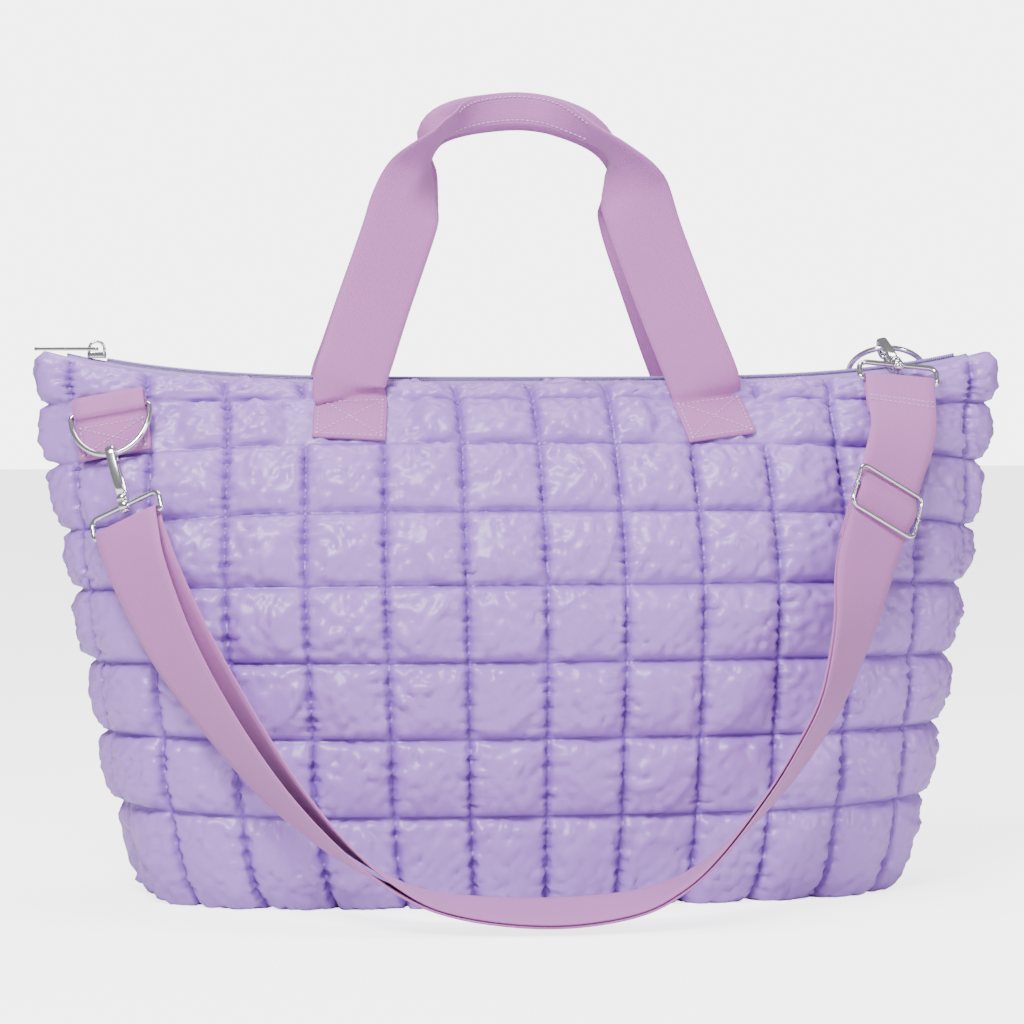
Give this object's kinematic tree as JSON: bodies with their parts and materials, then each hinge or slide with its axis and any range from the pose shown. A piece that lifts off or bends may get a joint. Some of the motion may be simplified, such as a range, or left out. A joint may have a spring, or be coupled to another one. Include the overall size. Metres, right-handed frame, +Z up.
{
  "type": "overnight bag",
  "caption": "Long quilted overnight bag with a zip along the top, folded webbing grab handles and a clip-on adjustable shoulder strap.",
  "frame": {"origin": "Centre of the flat base that the bag stands on.", "axes": "+X runs along the bag's length to the right as seen from the front, +Y to the back, +Z up. The front, where the shoulder strap lies, faces -Y."},
  "size_m": [0.5204, 0.2723, 0.4277],
  "materials": {
    "bag_body": "glossy crinkled nylon, padded and quilted",
    "zip_tape_front": "matt woven zip tape",
    "zip_tape_back": "matt woven zip tape",
    "zip_coil": "satin nylon coil",
    "zip_slider": "polished nickel plate",
    "zip_pull": "polished nickel plate",
    "handle_front": "ribbed woven webbing",
    "handle_back": "ribbed woven webbing",
    "ring_tab_left": "ribbed woven webbing",
    "ring_tab_right": "ribbed woven webbing",
    "d_ring_left": "polished nickel plate",
    "d_ring_right": "polished nickel plate",
    "hook_left": "polished nickel plate",
    "hook_right": "polished nickel plate",
    "gate_left": "polished nickel plate",
    "gate_right": "polished nickel plate",
    "eye_left": "polished nickel plate",
    "eye_right": "polished nickel plate",
    "shoulder_strap": "ribbed woven webbing",
    "adjuster_frame": "polished nickel plate",
    "adjuster_bar": "polished nickel plate"
  },
  "bodies": {
    "bag": {"bag_body": "bag_body", "zip_tape_front": "zip_tape_front", "zip_tape_back": "zip_tape_back", "zip_coil": "zip_coil", "zip_slider": "zip_slider", "handle_front": "handle_front", "handle_back": "handle_back", "ring_tab_left": "ring_tab_left", "ring_tab_right": "ring_tab_right", "d_ring_left": "d_ring_left", "d_ring_right": "d_ring_right", "hook_left": "hook_left", "hook_right": "hook_right", "eye_left": "eye_left", "eye_right": "eye_right", "shoulder_strap": "shoulder_strap", "adjuster_frame": "adjuster_frame", "adjuster_bar": "adjuster_bar"},
    "pull": {"zip_pull": "zip_pull"},
    "gate_l": {"gate_left": "gate_left"},
    "gate_r": {"gate_right": "gate_right"}
  },
  "joints": [
    {"name": "pull_hinge", "type": "hinge", "parent": "bag", "child": "pull", "pos_m": [-0.2293, 0, 0.29132], "axis": [0, 1, 0], "range_deg": [0, 160]},
    {"name": "gate_left_pivot", "type": "hinge", "parent": "bag", "child": "gate_l", "pos_m": [-0.21645, -0.04351, 0.21433], "axis": [0.936, -0.1874, 0.298], "range_deg": [0, 13], "stiffness_Nm_per_rad": 0.02, "springref_deg": -5.73},
    {"name": "gate_right_pivot", "type": "hinge", "parent": "bag", "child": "gate_r", "pos_m": [0.20097, -0.01607, 0.27981], "axis": [0.9837, -0.0129, 0.1795], "range_deg": [0, 13], "stiffness_Nm_per_rad": 0.02, "springref_deg": -5.73}
  ]
}
